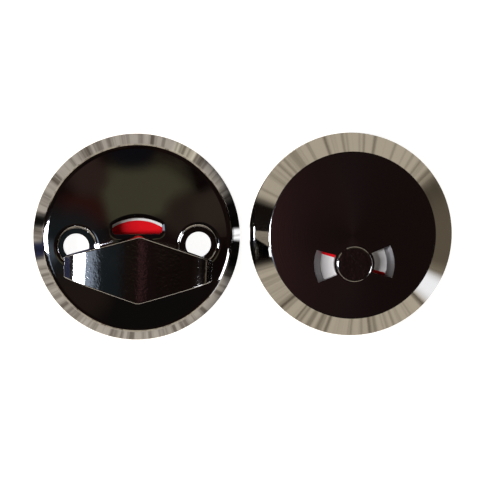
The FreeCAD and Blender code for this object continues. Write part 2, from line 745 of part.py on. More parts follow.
def inside_field():
    """Red field laid in the rebate of the inside indicator."""
    body = new_body("inside_red_field")
    outline = ring_sector(inside_field_inner + s.field_rebate_gap, inside_field_outer - s.field_rebate_gap,
                          inside_field_low, inside_field_high)
    extrude(body, "field", [outline], plate_top - s.field_wall, s.field_wall)
    put(body, *inside_pivot, -s.turn_rest_angle)
    return body


def wave_washer(label, inner, outer, height, low, place):
    """Spring washer of thin strip whose rings rise and fall evenly round the axis."""
    swing = (height.number - s.washer_sheet.number) / 2
    steps = WASHER_WAVES * POINTS_PER_WAVE

    def wavy_ring(radius):
        points = []
        for step in range(steps):
            angle = 2 * math.pi * step / steps
            lift = low.number + swing * (1 + math.cos(WASHER_WAVES * angle))
            points.append(Vector(radius.number * math.cos(angle), radius.number * math.sin(angle), lift))
        curve = Part.BSplineCurve()
        curve.interpolate(Points=points, PeriodicFlag=True)
        return curve.toShape()

    strip = Part.makeRuledSurface(wavy_ring(inner), wavy_ring(outer))
    washer = doc.addObject("Part::Feature", label)
    washer.Shape = strip.extrude(Vector(0, 0, s.washer_sheet.number))
    put(washer, *place, 0)
    return washer


def retaining_ring():
    """Open ring that snaps into the groove below the inside indicator."""
    inner_radius = ring_groove + s.running_gap
    band = doc.addObject("Part::Cylinder", "ring_band")
    bind(band, "Radius", inner_radius + s.ring_band)
    bind(band, "Height", s.ring_wall)
    bore = doc.addObject("Part::Cylinder", "ring_bore")
    bind(bore, "Radius", inner_radius)
    bind(bore, "Height", s.ring_wall)
    mouth = doc.addObject("Part::Box", "ring_mouth")
    bind(mouth, "Length", inner_radius + 2 * s.ring_band)
    bind(mouth, "Width", s.ring_mouth)
    bind(mouth, "Height", s.ring_wall)
    bind(mouth, "Placement.Base.y", -s.ring_mouth / 2)
    opening = doc.addObject("Part::Fuse", "ring_opening")
    opening.Base = bore
    opening.Tool = mouth
    ring = doc.addObject("Part::Cut", "turn_retaining_ring")
    ring.Base = band
    ring.Tool = opening
    put(ring, *inside_pivot, -s.turn_rest_angle)
    bind(ring, "Placement.Base.z", ring_under)
    return ring


def fan_corner(radius, side):
    """Corner of a fan window at a radius from the pivot; side is +1 for the upper side."""
    along = root(radius * radius - s.fan_side_offset * s.fan_side_offset)
    x = along * cosine(s.fan_half_angle) - s.fan_side_offset * sine(s.fan_half_angle)
    y = along * sine(s.fan_half_angle) + s.fan_side_offset * cosine(s.fan_half_angle)
    return x, side * y - s.pivot_drop


def fan_window(outer):
    return [
        fan_corner(fan_inner_radius, -1),
        (*fan_corner(outer, -1), outer, "left"),
        fan_corner(outer, 1),
        (*fan_corner(fan_inner_radius, 1), fan_inner_radius, "right"),
    ]


def turned_rose():
    """Turned rose: flat face, wide bevelled rim, hollow back with screw bosses, and two fan windows."""
    body = new_body("outside_rose")
    revolve(body, "turning", [
        (0, face_under),
        (s.cavity_radius, face_under),
        (s.cavity_radius, back_plate_top),
        (counterbore_radius, back_plate_top),
        (counterbore_radius, 0),
        (s.outside_radius, 0),
        (s.outside_radius, s.outside_edge_land),
        (outside_face_radius, s.outside_height),
        (0, s.outside_height),
    ])
    dress(body, "Chamfer", "face_edge",
          lambda edge: is_circle(edge, outside_face_radius, s.outside_height), Size=s.outside_edge_break)
    screw = (s.screw_spacing / 2, -s.screw_drop, 0)
    boss = primitive(body, "AdditiveCylinder", "boss", screw, Radius=s.boss_radius,
                     Height=face_under + s.face_wall / 2)
    tapped = primitive(body, "SubtractiveCylinder", "tapped_hole", screw, Radius=s.boss_bore_radius,
                       Height=s.boss_bore_depth)
    mirror_across(body, "boss_pair", [boss, tapped])
    primitive(body, "SubtractiveCylinder", "coin_hole", (0, -s.pivot_drop, face_under - CUT_OVERRUN),
              Radius=coin_bore, Height=s.face_wall + 2 * CUT_OVERRUN)
    fan = loft(body, "fan", [
        (fan_window(s.fan_outer_radius), s.outside_height),
        (fan_window(s.fan_floor_radius), face_under),
    ], cut=True)
    mirror_across(body, "fan_pair", [fan])
    put(body, outside_x, 0, s.outside_tilt)
    return body


def coin_turn():
    """Slotted coin turn with a flange behind the face and two pegs that drive the indicator."""
    body = new_body("coin_turn")
    revolve(body, "barrel", [
        (0, back_plate_under),
        (s.coin_radius, back_plate_under),
        (s.coin_radius, coin_flange_under),
        (s.coin_flange_radius, coin_flange_under),
        (s.coin_flange_radius, disc_under),
        (s.coin_radius, disc_under),
        (s.coin_radius, coin_top - s.coin_edge_round, s.coin_edge_round, "left"),
        (s.coin_radius - s.coin_edge_round, coin_top),
        (0, coin_top),
    ])
    slot_floor = coin_top - s.coin_slot_depth
    half_slot = s.coin_slot_width / 2
    slot_reach = s.coin_radius + CUT_OVERRUN
    extrude(body, "coin_slot", [rectangle(-half_slot, -slot_reach, half_slot, slot_reach)],
            slot_floor, s.coin_slot_depth + CUT_OVERRUN, cut=True)
    half_socket = s.spindle_socket / 2
    primitive(body, "SubtractiveBox", "spindle_socket", (-half_socket, -half_socket, back_plate_under),
              Length=s.spindle_socket, Width=s.spindle_socket,
              Height=slot_floor - s.coin_web - back_plate_under)
    for number, angle in enumerate(PEG_ANGLES):
        primitive(body, "AdditiveCylinder", f"drive_peg_{number}",
                  (*at_angle(s.drive_peg_circle, angle), disc_under),
                  Radius=s.drive_peg_radius, Height=s.drive_peg_height)
    put(body, *outside_pivot, coin_angle)
    return body


def outside_field_outlines(gap):
    """The two red sectors, which lie above and below the pivot when the lock is vacant."""
    return [
        ring_sector(outside_field_inner + gap, outside_field_outer - gap,
                    middle - s.outside_field_half_angle, middle + s.outside_field_half_angle)
        for middle in (QUARTER_TURN, -QUARTER_TURN)
    ]


def outside_indicator():
    """White disc behind the fan windows, driven by the coin turn's pegs."""
    body = new_body("outside_indicator_disc")
    extrude(body, "disc", [(0, 0, s.outside_disc_radius), (0, 0, coin_bore)], disc_under,
            s.outside_disc_wall)
    for number, angle in enumerate(PEG_ANGLES):
        primitive(body, "SubtractiveCylinder", f"peg_hole_{number}",
                  (*at_angle(s.drive_peg_circle, angle), disc_under),
                  Radius=s.drive_peg_radius + s.running_gap, Height=s.drive_peg_height + s.running_gap)
    extrude(body, "rebates", outside_field_outlines(0), disc_top - s.field_wall, s.field_wall, cut=True)
    put(body, *outside_pivot, coin_angle)
    return body


def outside_field(label, outline):
    """Red field laid in a rebate of the outside indicator disc."""
    body = new_body(label)
    extrude(body, f"{label}_sheet", [outline], disc_top - s.field_wall, s.field_wall)
    put(body, *outside_pivot, coin_angle)
    return body


def back_plate():
    """Steel plate that closes the turned rose and carries the outside wave washer."""
    body = new_body("outside_back_plate")
    boss_hole = s.boss_radius + s.running_gap
    extrude(body, "plate", [
        (0, 0, counterbore_radius - s.running_gap),
        (0, -s.pivot_drop, coin_bore),
        (s.screw_spacing / 2, -s.screw_drop, boss_hole),
        (-s.screw_spacing / 2, -s.screw_drop, boss_hole),
    ], back_plate_under, s.back_plate_wall)
    put(body, outside_x, 0, s.outside_tilt)
    return body


upper_field, lower_field = outside_field_outlines(s.field_rebate_gap)
pieces = [
    pressed_rose(),
    turn_bush(),
    thumb_turn(),
    inside_indicator(),
    inside_field(),
    wave_washer("inside_wave_washer", s.neck_radius + s.washer_play, s.inside_hub_radius,
                s.inside_washer_height, shank_shoulder + s.seat_gap, inside_pivot),
    retaining_ring(),
    turned_rose(),
    coin_turn(),
    outside_indicator(),
    outside_field("outside_red_field_upper", upper_field),
    outside_field("outside_red_field_lower", lower_field),
    wave_washer("outside_wave_washer", s.coin_radius + s.washer_play, s.coin_flange_radius,
                s.outside_washer_height, back_plate_top, outside_pivot),
    back_plate(),
]
doc.recompute()

# Nothing is written unless every object is sound
for thing in doc.Objects:
    if "Invalid" in thing.State or "Error" in thing.State:
        raise RuntimeError(f"{thing.Label} failed: {thing.State}")
for piece in pieces:
    if piece.Shape.isNull() or not piece.Shape.isValid() or len(piece.Shape.Solids) != 1:
        raise RuntimeError(f"{piece.Label} is not one sound solid")

os.makedirs("parts", exist_ok=True)
for piece in pieces:
    piece.Shape.exportStep(f"parts/{piece.Label}.step")
    print(f"{piece.Label}: {piece.Shape.Volume:.1f} cubic mm")
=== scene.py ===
# %% [markdown]
# # Bathroom thumb turn lock
#
# The set has two halves, lying on their backs on a pale table. The inside half is a pressed, polished
# rose with a lozenge thumb turn and a curved red window. The outside half is a turned rose with a wide
# bevelled rim, a slotted coin turn and two fan windows. The solid model gives every piece its place and
# size, so this lesson starts by loading it as a fixed frame. Lengths here are in metres, as Blender
# counts them, and MM turns a workshop size into one.

# %% Load the frame
import bpy
import json
import math
from mathutils import Matrix, Vector


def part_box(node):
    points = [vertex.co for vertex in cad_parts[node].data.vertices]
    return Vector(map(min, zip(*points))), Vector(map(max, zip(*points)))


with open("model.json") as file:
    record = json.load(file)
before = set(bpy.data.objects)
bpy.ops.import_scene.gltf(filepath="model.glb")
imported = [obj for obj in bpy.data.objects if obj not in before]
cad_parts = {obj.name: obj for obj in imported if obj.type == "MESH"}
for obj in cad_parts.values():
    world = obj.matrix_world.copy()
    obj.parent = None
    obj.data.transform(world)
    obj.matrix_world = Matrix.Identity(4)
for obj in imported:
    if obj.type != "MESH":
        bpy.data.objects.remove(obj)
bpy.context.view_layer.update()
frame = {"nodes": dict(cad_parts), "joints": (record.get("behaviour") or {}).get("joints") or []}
nodes = frame["nodes"]
MM = 0.001
print("pieces in the frame:", ", ".join(sorted(nodes)))

# %% [markdown]
# ## Where the halves lie
#
# Finishes such as turning marks run round a centre, so the lesson needs the centre of each rose and the
# axis of each turn. A rose is round, so the middle of its box is its centre. The axes are the joints'
# own places, which the frame gives.

# %% Centres and axes
def middle_of(node):
    """Gives the middle of a node's box."""
    low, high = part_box(node)
    return (low + high) / 2


inside_centre = middle_of("inside_rose")
outside_centre = middle_of("outside_rose")
axis_of = {joint["child"]: Vector(joint["pos_m"]) for joint in frame["joints"]}
face_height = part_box("outside_rose")[1].z
print("inside rose at", [round(v / MM, 2) for v in inside_centre], "mm")
print("outside rose at", [round(v / MM, 2) for v in outside_centre], "mm, face", round(face_height / MM, 2))

# %% [markdown]
# ## Tools for materials
#
# A material is a small graph of nodes. Colours are written as the sRGB codes that paint charts and
# screens use, and one function turns them into the linear values that shaders add up. A second small
# function adds a node, sets its options and constant inputs, and plugs in what feeds it.

# %% Helpers for materials
def linear(code):
    """Turns an sRGB hex colour into the linear values that shaders take."""
    channels = [int(code[start:start + 2], 16) / 255 for start in (1, 3, 5)]
    return tuple(
        c / 12.92 if c <= 0.04045 else ((c + 0.055) / 1.055) ** 2.4 for c in channels
    ) + (1.0,)


def add(tree, kind, links=None, values=None, **settings):
    """Adds a node; links says which output feeds an input, values sets inputs that stay constant."""
    node = tree.nodes.new(kind)
    for name, setting in settings.items():
        setattr(node, name, setting)
    for name, value in (values or {}).items():
        node.inputs[name].default_value = value
    for name, output in (links or {}).items():
        tree.links.new(output, node.inputs[name])
    return node


def new_material(name):
    """Starts a material with one shader, and gives the piece's own coordinates to paint by."""
    material = bpy.data.materials.new(name)
    material.use_nodes = True
    tree = material.node_tree
    tree.nodes.clear()
    shader = add(tree, "ShaderNodeBsdfPrincipled")
    add(tree, "ShaderNodeOutputMaterial", {"Surface": shader.outputs["BSDF"]})
    place = add(tree, "ShaderNodeTexCoord").outputs["Object"]
    return material, tree, shader, place


def dress(material, *names):
    """Puts a material on pieces of the frame."""
    for name in names:
        for slot in nodes[name].material_slots:
            slot.material = material
    print(material.name, "on", ", ".join(names))


# %% [markdown]
# ## Polished chrome
#
# Bright chrome is a neutral, slightly dark mirror, so nearly all of its look comes from what it
# reflects. Small faults keep it from looking like a computer's mirror: a breath of haze that varies
# over a centimetre, a slow ripple that sheet and castings keep under the plate, and the fine orange
# peel of the polish. The haze goes to the roughness, the other two to the bump. The casting of the two
# turns keeps more peel than the sheet does, which breaks up the edge of the window on the thumb turn.
# A noise node mostly stays between NOISE_LOW and NOISE_HIGH, so those are spread to the full range.

# %% Chrome that a polishing mop has gone over
CHROME_TINT = "#C4C4C5"
BREATH = 9 * MM
BREATH_SPREAD = 0.5
NOISE_LOW = 0.3
NOISE_HIGH = 0.7


def polished_chrome(name, haze, ripple_mm, ripple_depth_mm, peel_mm, peel_depth_mm):
    material, tree, shader, place = new_material(name)
    shader.inputs["Metallic"].default_value = 1.0
    shader.inputs["Base Color"].default_value = linear(CHROME_TINT)
    breath = add(tree, "ShaderNodeTexNoise", {"Vector": place}, {"Scale": 1 / BREATH, "Detail": 5.0})
    rough = add(tree, "ShaderNodeMapRange", {"Value": breath.outputs["Fac"]},
                {"From Min": NOISE_LOW, "From Max": NOISE_HIGH,
                 "To Min": haze * (1 - BREATH_SPREAD), "To Max": haze * (1 + BREATH_SPREAD)})
    tree.links.new(rough.outputs["Result"], shader.inputs["Roughness"])
    ripple = add(tree, "ShaderNodeTexNoise", {"Vector": place},
                 {"Scale": 1 / (ripple_mm * MM), "Detail": 1.0})
    slow = add(tree, "ShaderNodeBump", {"Height": ripple.outputs["Fac"]},
               {"Strength": 1.0, "Distance": ripple_depth_mm * MM})
    peel = add(tree, "ShaderNodeTexNoise", {"Vector": place},
               {"Scale": 1 / (peel_mm * MM), "Detail": 2.0})
    fine = add(tree, "ShaderNodeBump", {"Height": peel.outputs["Fac"], "Normal": slow.outputs["Normal"]},
               {"Strength": 1.0, "Distance": peel_depth_mm * MM})
    tree.links.new(fine.outputs["Normal"], shader.inputs["Normal"])
    return material, tree, shader, place


cast_chrome = polished_chrome("polished chrome plate on cast zinc", haze=0.07, ripple_mm=5.0,
                              ripple_depth_mm=0.020, peel_mm=0.75, peel_depth_mm=0.024)[0]
dress(cast_chrome, "thumb_turn", "coin_turn")

# %% [markdown]
# ## The pressed rose
#
# The same plate lies on pressed steel. On the slope of the rim, and nowhere else, the colour is darkened
# in thin lines: painted reflection streaks, standing in for the surroundings mirrored and drawn out on
# the steep cone. They follow the direction from the rose's centre, so a noise that reads only that
# direction gives streaks of the right kind, and a step on the radius keeps them to the rim. They are
# painted into the colour only and do not change the shape.

# %% Chrome on pressed steel, with painted reflection streaks on the rim
pressed_chrome, tree, shader, place = polished_chrome(
    "polished chrome plate on pressed steel", haze=0.04, ripple_mm=9.0, ripple_depth_mm=0.05,
    peel_mm=0.8, peel_depth_mm=0.002)
RIM_RUN = 2.6 * MM
RIM_FADE = 0.5 * MM
REFLECTION_STREAK_SPACING = 1.6 * MM
PAINTED_STREAK_TONE = "#6B6763"
REFLECTION_STREAK_START = 0.44
REFLECTION_STREAK_FULL = 0.64
rim_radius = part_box("inside_rose")[1].x - inside_centre.x - RIM_RUN
from_centre = add(tree, "ShaderNodeVectorMath", {0: place}, {1: (inside_centre.x, inside_centre.y, 0)},
                  operation="SUBTRACT")
spoke = add(tree, "ShaderNodeVectorMath", {0: from_centre.outputs["Vector"]}, {1: (1, 1, 0)},
            operation="MULTIPLY")
reach = add(tree, "ShaderNodeVectorMath", {0: spoke.outputs["Vector"]}, operation="LENGTH")
heading = add(tree, "ShaderNodeVectorMath", {0: spoke.outputs["Vector"]}, operation="NORMALIZE")
# Painted reflection streaks: the rim's colour is darkened in radial lines that stand in for reflected
# surroundings.
reflection_streak_noise = add(tree, "ShaderNodeTexNoise", {"Vector": heading.outputs["Vector"]},
                 {"Scale": rim_radius / REFLECTION_STREAK_SPACING, "Detail": 4.0})
on_rim = add(tree, "ShaderNodeMapRange", {"Value": reach.outputs["Value"]},
             {"From Min": rim_radius, "From Max": rim_radius + RIM_FADE})
reflection_streak_strength = add(tree, "ShaderNodeMapRange", {"Value": reflection_streak_noise.outputs["Fac"]},
            {"From Min": REFLECTION_STREAK_START, "From Max": REFLECTION_STREAK_FULL})
painted_reflection_streaks = add(tree, "ShaderNodeMath", {0: reflection_streak_strength.outputs["Result"], 1: on_rim.outputs["Result"]},
            operation="MULTIPLY")
tone = add(tree, "ShaderNodeMix", {0: painted_reflection_streaks.outputs[0]}, {6: linear(CHROME_TINT), 7: linear(PAINTED_STREAK_TONE)},
           data_type="RGBA")
tree.links.new(tone.outputs[2], shader.inputs["Base Color"])
dress(pressed_chrome, "inside_rose")

# %% [markdown]
# ## Chrome over turning marks
#
# The outside rose was faced on a lathe, and the plate keeps the tool's fine rings. Rings spread a
# highlight across them and not along them, which draws faint fans of light on the face. That is what
# the anisotropic setting does, once the tangent runs round the centre. The bevel was polished after
# turning and is nearly clear. The flanks of the fan windows were milled and never polished, so close
# to the coin turn and below the face the finish goes satin and a little darker. Real rings stand about
# a tenth of a millimetre apart, finer than a pixel of the picture, so here they are drawn coarser.

# %% Chrome on turned brass
RING_SPACING = 0.35 * MM
RING_DEPTH = 0.003 * MM
RING_SPREAD = 0.7
FACE_HAZE = 0.085
BEVEL_HAZE = 0.05
FLANK_HAZE = 0.40
FAN_REACH = 10.4 * MM
EDGE_DROP = 0.04 * MM
FLANK_TONE = "#A09D9E"
lathe_chrome, tree, shader, place = new_material("chrome plate on turned brass")
shader.inputs["Metallic"].default_value = 1.0
shader.inputs["Anisotropic"].default_value = RING_SPREAD
from_centre = add(tree, "ShaderNodeVectorMath", {0: place}, {1: outside_centre}, operation="SUBTRACT")
round_centre = add(tree, "ShaderNodeVectorMath", {0: from_centre.outputs["Vector"]}, {1: (0, 0, 1)},
                   operation="CROSS_PRODUCT")
tree.links.new(round_centre.outputs["Vector"], shader.inputs["Tangent"])
spoke = add(tree, "ShaderNodeVectorMath", {0: from_centre.outputs["Vector"]}, {1: (1, 1, 0)},
            operation="MULTIPLY")
reach = add(tree, "ShaderNodeVectorMath", {0: spoke.outputs["Vector"]}, operation="LENGTH")
rings = add(tree, "ShaderNodeTexNoise", {"W": reach.outputs["Value"]},
            {"Scale": 1 / RING_SPACING, "Detail": 3.0}, noise_dimensions="1D")
ridges = add(tree, "ShaderNodeBump", {"Height": rings.outputs["Fac"]},
             {"Strength": 0.5, "Distance": RING_DEPTH})
tree.links.new(ridges.outputs["Normal"], shader.inputs["Normal"])
print(lathe_chrome.name, "with rings", round(RING_SPACING / MM, 2), "mm apart")

# %% The three finishes of that rose
height = add(tree, "ShaderNodeSeparateXYZ", {0: place}).outputs["Z"]
below_face = add(tree, "ShaderNodeMath", {0: height}, {1: face_height - EDGE_DROP},
                 operation="LESS_THAN")
from_axis = add(tree, "ShaderNodeVectorMath", {0: place}, {1: axis_of["coin_turn"]},
                operation="SUBTRACT")
flat = add(tree, "ShaderNodeVectorMath", {0: from_axis.outputs["Vector"]}, {1: (1, 1, 0)},
           operation="MULTIPLY")
from_turn = add(tree, "ShaderNodeVectorMath", {0: flat.outputs["Vector"]}, operation="LENGTH")
in_window = add(tree, "ShaderNodeMath", {0: from_turn.outputs["Value"]}, {1: FAN_REACH},
                operation="LESS_THAN")
flank = add(tree, "ShaderNodeMath", {0: in_window.outputs[0], 1: below_face.outputs[0]},
            operation="MULTIPLY")
bevel_or_face = add(tree, "ShaderNodeMapRange", {"Value": below_face.outputs[0]},
                    {"To Min": FACE_HAZE, "To Max": BEVEL_HAZE})
rough = add(tree, "ShaderNodeMix", {0: flank.outputs[0], 2: bevel_or_face.outputs["Result"]},
            {3: FLANK_HAZE}, data_type="FLOAT")
tree.links.new(rough.outputs[0], shader.inputs["Roughness"])
tone = add(tree, "ShaderNodeMix", {0: flank.outputs[0]}, {6: linear(CHROME_TINT), 7: linear(FLANK_TONE)},
           data_type="RGBA")
tree.links.new(tone.outputs[2], shader.inputs["Base Color"])
dress(lathe_chrome, "outside_rose")

# %% [markdown]
# ## Moulded plastics
#
# The indicators are injection moulded ABS, white with red fields. Their surface copies a polished
# mould, so the gloss is even, but the pigment is never quite even: a cloud of two close tones does it.
# The grain of the mould is drawn coarser than the real one, which no pixel would show.

# %% ABS and nylon
GRAIN = 0.3 * MM
GRAIN_DEPTH = 0.01 * MM


def moulded(name, light, dark, roughness, gloss, cloud_mm):
    material, tree, shader, place = new_material(name)
    cloud = add(tree, "ShaderNodeTexNoise", {"Vector": place},
                {"Scale": 1 / (cloud_mm * MM), "Detail": 5.0})
    tone = add(tree, "ShaderNodeMix", {0: cloud.outputs["Fac"]}, {6: linear(dark), 7: linear(light)},
               data_type="RGBA")
    tree.links.new(tone.outputs[2], shader.inputs["Base Color"])
    grain = add(tree, "ShaderNodeTexNoise", {"Vector": place}, {"Scale": 1 / GRAIN, "Detail": 2.0})
    bump = add(tree, "ShaderNodeBump", {"Height": grain.outputs["Fac"]},
               {"Strength": 0.3, "Distance": GRAIN_DEPTH})
    tree.links.new(bump.outputs["Normal"], shader.inputs["Normal"])
    shader.inputs["Roughness"].default_value = roughness
    shader.inputs["Specular IOR Level"].default_value = gloss
    return material


white_abs = moulded("white moulded ABS", "#F2EEE9", "#E6E0D8", roughness=0.35, gloss=0.5, cloud_mm=3.0)
red_abs = moulded("red moulded ABS", "#EC0A18", "#DA0412", roughness=0.45, gloss=0.2, cloud_mm=3.0)
nylon = moulded("natural moulded nylon", "#E6E1D4", "#D8D1C0", roughness=0.5, gloss=0.4, cloud_mm=2.0)
dress(white_abs, "inside_indicator_disc", "outside_indicator_disc")
dress(red_abs, "inside_red_field", "outside_red_field_upper", "outside_red_field_lower")
dress(nylon, "turn_bush")

# %% [markdown]
# ## Plain steels
#
# The springs and the retaining ring are blank spring strip, and the back plate is stamped sheet with
# bright zinc. Both are rolled, so their haze runs in streaks along the strip: noise that is squeezed
# one way and stretched the other.

# %% Rolled strip and zinc plate
STREAK_STRETCH = (0.06, 1, 1)
STREAK_SPREAD = 0.3


def rolled(name, light, dark, roughness, streak_mm):
    material, tree, shader, place = new_material(name)
    shader.inputs["Metallic"].default_value = 1.0
    stretched = add(tree, "ShaderNodeMapping", {"Vector": place}, {"Scale": STREAK_STRETCH})
    streaks = add(tree, "ShaderNodeTexNoise", {"Vector": stretched.outputs["Vector"]},
                  {"Scale": 1 / (streak_mm * MM), "Detail": 6.0})
    tone = add(tree, "ShaderNodeMix", {0: streaks.outputs["Fac"]}, {6: linear(dark), 7: linear(light)},
               data_type="RGBA")
    tree.links.new(tone.outputs[2], shader.inputs["Base Color"])
    rough = add(tree, "ShaderNodeMapRange", {"Value": streaks.outputs["Fac"]},
                {"To Min": roughness * (1 - STREAK_SPREAD), "To Max": roughness * (1 + STREAK_SPREAD)})
    tree.links.new(rough.outputs["Result"], shader.inputs["Roughness"])
    return material


spring_steel = rolled("blank rolled spring steel", "#A8A6A2", "#82807C", roughness=0.35, streak_mm=0.4)
zinc_steel = rolled("bright zinc plate on stamped steel", "#C6C8CA", "#AEB1B5", roughness=0.38,
                    streak_mm=0.6)
dress(spring_steel, "inside_wave_washer", "outside_wave_washer", "turn_retaining_ring")
dress(zinc_steel, "outside_back_plate")

# %% [markdown]
# ## The table
#
# The table is a pale matt sheet, lit by the lamps, so the pieces keep their shadows on it and the
# steep rim of the pressed rose mirrors it. To the camera it glows up to white, and to the mirrors a
# little, because a camera that is set for dark chrome shows pale paper as white.

# %% Table
TABLE_SIDE = 3.0
TABLE_GAP = 0.02 * MM
GLOW_TO_CAMERA = 0.94
GLOW_TO_MIRRORS = 0.12
TABLE_TONE = "#C8BAA4"
bpy.ops.object.select_all(action="DESELECT")
bpy.ops.mesh.primitive_plane_add(size=TABLE_SIDE, location=(0, 0, -TABLE_GAP))
table = bpy.context.object
table.name = "table"
table_paint = bpy.data.materials.new("pale table")
table_paint.use_nodes = True
tree = table_paint.node_tree
tree.nodes.clear()
rays = add(tree, "ShaderNodeLightPath")
mirrored = add(tree, "ShaderNodeMath",
               {0: rays.outputs["Is Glossy Ray"], 1: rays.outputs["Is Transmission Ray"]},
               operation="MAXIMUM")
mirror_glow = add(tree, "ShaderNodeMath", {0: mirrored.outputs[0]}, {1: GLOW_TO_MIRRORS},
                  operation="MULTIPLY")
glow_level = add(tree, "ShaderNodeMath",
                 {0: rays.outputs["Is Camera Ray"], 2: mirror_glow.outputs[0]}, {1: GLOW_TO_CAMERA},
                 operation="MULTIPLY_ADD")
glow = add(tree, "ShaderNodeEmission", {"Strength": glow_level.outputs[0]})
matt = add(tree, "ShaderNodeBsdfDiffuse", values={"Color": linear(TABLE_TONE)})
surface = add(tree, "ShaderNodeAddShader", {0: glow.outputs[0], 1: matt.outputs[0]}).outputs[0]
print("table", TABLE_SIDE, "m square")

# %% [markdown]
# ## What the mirrors see of the table
#
# Round the pressed rose the table carries painted shade and painted highlights that only the mirrors
# see: the gap between the halves is painted dark with a painted bright spot in it, a second painted
# bright spot lies at the upper right, and two painted dark strips lie to the left. A direction is a
# compass angle and a height angle in degrees, and a soft patch of colour is everything within some
# degrees of it.

# %% Directions and soft patches
def towards(azimuth, elevation):
    """Gives the direction at a compass angle and a height angle."""
    turn = math.radians(azimuth)
    climb = math.radians(elevation)
    return Vector((math.cos(turn) * math.cos(climb), math.sin(turn) * math.cos(climb), math.sin(climb)))


def within(tree, way, direction, full, gone):
    """Gives 1 within full degrees of a direction, fading to 0 at gone degrees."""
    facing = add(tree, "ShaderNodeVectorMath", {0: way}, {1: direction}, operation="DOT_PRODUCT")
    share = add(tree, "ShaderNodeMapRange", {"Value": facing.outputs["Value"]},
                {"From Min": math.cos(math.radians(gone)), "From Max": math.cos(math.radians(full))},
                interpolation_type="SMOOTHSTEP")
    return share.outputs["Result"]


def glowing(tone, strength):
    """Gives a colour as light of some strength, where 1 is white paper in full light."""
    return tuple(strength * channel for channel in linear(tone)[:3]) + (1.0,)


# %% Painted shade and highlights on the table
# Each row is a compass angle, the degrees of full colour and of none, a colour and its strength.
place = add(tree, "ShaderNodeTexCoord").outputs["Object"]
from_rose = add(tree, "ShaderNodeVectorMath", {0: place}, {1: (inside_centre.x, inside_centre.y, 0)},
                operation="SUBTRACT")
side = add(tree, "ShaderNodeVectorMath", {0: from_rose.outputs["Vector"]}, operation="NORMALIZE")
PAINTED_TABLE_SHADE_AND_GLINTS = [
    (0, 17, 31, "#0F0D0C", 1.0),
    (0.5, 1.5, 4.5, "#FFFFFF", 1.7),
    (59, 3, 10, "#FFF4DC", 1.0),
    (170, 1, 6, "#242220", 1.0),
    (187, 2, 7, "#34374F", 1.0),
]
# Each patch is a glowing colour that only the mirrors see: painted shade, painted highlights and painted
# reflections on the table.
for azimuth, full, gone, tone, strength in PAINTED_TABLE_SHADE_AND_GLINTS:
    share = within(tree, side.outputs["Vector"], towards(azimuth, 0), full, gone)
    seen = add(tree, "ShaderNodeMath", {0: share, 1: mirrored.outputs[0]}, operation="MULTIPLY")
    painted_patch = add(tree, "ShaderNodeEmission", values={"Color": glowing(tone, strength)})
    surface = add(tree, "ShaderNodeMixShader",
                  {0: seen.outputs[0], 1: surface, 2: painted_patch.outputs[0]}).outputs[0]
add(tree, "ShaderNodeOutputMaterial", {"Surface": surface})
table.data.materials.append(table_paint)
print(len(PAINTED_TABLE_SHADE_AND_GLINTS), "patches on the table")

# %% [markdown]
# ## The room that the chrome shows
#
# A mirror needs a room. Low round the table stand pale, streaky walls: the bevelled rim looks at
# those. Two of them are in shade, one behind the left window and one to the right, and next to the
# right one a bright patch gives the rim its white spot. The right wall is low, so the right end of the
# turn stays dark. Above, the room is dark brown, with olive, maroon and navy patches that the dome,
# the flat face and the turn look up into. They are soft patches of colour, as on the table.

# %% Walls
# A row of WALL_PATCHES is laid out as on the table.
WALL_LIGHT = "#D8CAB2"
WALL_DARK = "#6E6252"
WALL_STREAKS = 17.0
WALL_STREAK_START = 0.48
WALL_STREAK_FULL = 0.70
room = bpy.data.worlds.new("dark room with pale walls")
bpy.context.scene.world = room
room.use_nodes = True
tree = room.node_tree
tree.nodes.clear()
way = add(tree, "ShaderNodeTexCoord").outputs["Generated"]
level = add(tree, "ShaderNodeVectorMath", {0: way}, {1: (1, 1, 0)}, operation="MULTIPLY")
heading = add(tree, "ShaderNodeVectorMath", {0: level.outputs["Vector"]}, operation="NORMALIZE")
compass = heading.outputs["Vector"]
streaks = add(tree, "ShaderNodeTexNoise", {"Vector": compass}, {"Scale": WALL_STREAKS, "Detail": 3.0})
streak_tone = add(tree, "ShaderNodeMapRange", {"Value": streaks.outputs["Fac"]},
                  {"From Min": WALL_STREAK_START, "From Max": WALL_STREAK_FULL})
walls = add(tree, "ShaderNodeMix", {0: streak_tone.outputs["Result"]},
            {6: linear(WALL_LIGHT), 7: linear(WALL_DARK)}, data_type="RGBA").outputs[2]
WALL_PATCHES = [
    (182, 18, 27, "#19130E", 1.0),
    (1, 18, 36, "#706553", 1.0),
    (-34, 0.5, 9, "#FFFFFF", 1.5),
]
for azimuth, full, gone, tone, strength in WALL_PATCHES:
    share = within(tree, compass, towards(azimuth, 0), full, gone)
    walls = add(tree, "ShaderNodeMix", {0: share, 6: walls}, {7: glowing(tone, strength)},
                data_type="RGBA").outputs[2]
print(len(WALL_PATCHES), "patches on the walls")

